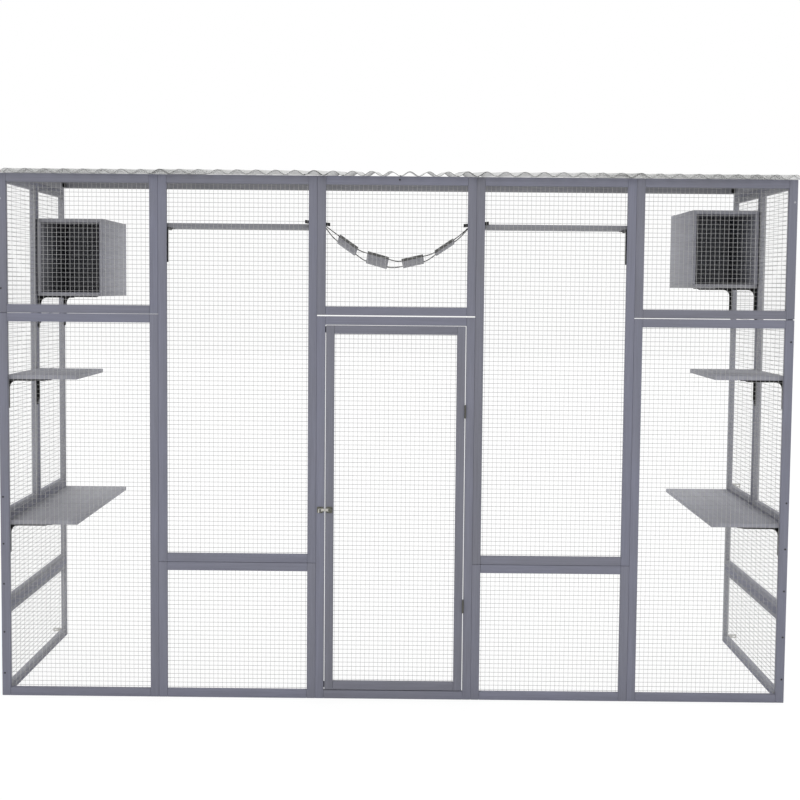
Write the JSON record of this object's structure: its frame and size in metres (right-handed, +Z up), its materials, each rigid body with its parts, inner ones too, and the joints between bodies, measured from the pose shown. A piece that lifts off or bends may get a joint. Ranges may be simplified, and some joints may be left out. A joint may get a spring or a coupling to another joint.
{
  "type": "outdoor cat enclosure",
  "caption": "Lean-to cat enclosure of painted timber panels with wire net, a corrugated roof, a hinged door, shelves, resting boxes and a hanging bridge.",
  "frame": {"origin": "on the ground, in the middle of the underside of the front wall's bottom rail", "axes": "+X along the front wall to the right as seen from outside, +Y from the front wall to the rear, +Z up"},
  "size_m": [3.088, 1.0453, 2.0866],
  "materials": {
    "painted_timber": "matt paint over fine sawn grain",
    "roof_sheet": "translucent satin sheet",
    "black_steel": "black powder coat",
    "zinc_steel": "zinc plated",
    "dark_rope": "twisted cord"
  },
  "bodies": {
    "enclosure": {"bay_1_lower": "painted_timber", "bay_1_upper": "painted_timber", "bay_2_lower": "painted_timber", "bay_2_upper": "painted_timber", "bay_3_upper": "painted_timber", "bay_4_lower": "painted_timber", "bay_4_upper": "painted_timber", "bay_5_lower": "painted_timber", "bay_5_upper": "painted_timber", "door_frame": "painted_timber", "left_low": "painted_timber", "left_middle": "painted_timber", "left_tall_front": "painted_timber", "left_tall_rear": "painted_timber", "right_low": "painted_timber", "right_middle": "painted_timber", "right_tall_front": "painted_timber", "right_tall_rear": "painted_timber", "rear_beam": "painted_timber", "roof_sheet_1": "roof_sheet", "roof_sheet_2": "roof_sheet", "roof_sheet_3": "roof_sheet", "roof_sheet_4": "roof_sheet", "roof_sheet_5": "roof_sheet", "left_shelf_upper": "painted_timber", "left_shelf_lower": "painted_timber", "right_shelf_upper": "painted_timber", "right_shelf_lower": "painted_timber", "high_shelf_left": "painted_timber", "high_shelf_right": "painted_timber", "left_box": "painted_timber", "right_box": "painted_timber", "left_box_bracket_front": "black_steel", "left_box_bracket_rear": "black_steel", "right_box_bracket_front": "black_steel", "right_box_bracket_rear": "black_steel", "hinge_top_frame_leaf": "zinc_steel", "hinge_bottom_frame_leaf": "zinc_steel", "latch_keeper": "zinc_steel", "door_stop_top": "black_steel", "door_stop_bottom": "black_steel", "bridge_hanger_left": "black_steel", "bridge_hanger_right": "black_steel", "wall_tab_left_low": "zinc_steel", "wall_tab_right_low": "zinc_steel", "wall_tab_right_middle": "zinc_steel"},
    "door": {"door_leaf": "painted_timber", "hinge_top_door_leaf": "zinc_steel", "hinge_bottom_door_leaf": "zinc_steel", "latch_plate": "zinc_steel"},
    "latch": {"latch_hook": "zinc_steel"},
    "bridge": {"bridge_ring_left": "zinc_steel", "bridge_ring_right": "zinc_steel", "bridge_rope_near": "dark_rope", "bridge_rope_far": "dark_rope", "bridge_slat_1": "painted_timber", "bridge_slat_2": "painted_timber", "bridge_slat_3": "painted_timber", "bridge_slat_4": "painted_timber"}
  },
  "joints": [
    {"name": "door_hinge", "type": "hinge", "parent": "enclosure", "child": "door", "pos_m": [0.26485, -0.0135, 0], "axis": [0, 0, 1], "range_deg": [0, 170]},
    {"name": "latch_hook", "type": "hinge", "parent": "door", "child": "latch", "pos_m": [-0.24735, -0.01, 0.73], "axis": [0, 1, 0], "range_deg": [0, 100]},
    {"name": "bridge_swing", "type": "hinge", "parent": "enclosure", "child": "bridge", "pos_m": [0, 0.13, 1.828], "axis": [1, 0, 0], "range_deg": [-11, 25]}
  ]
}
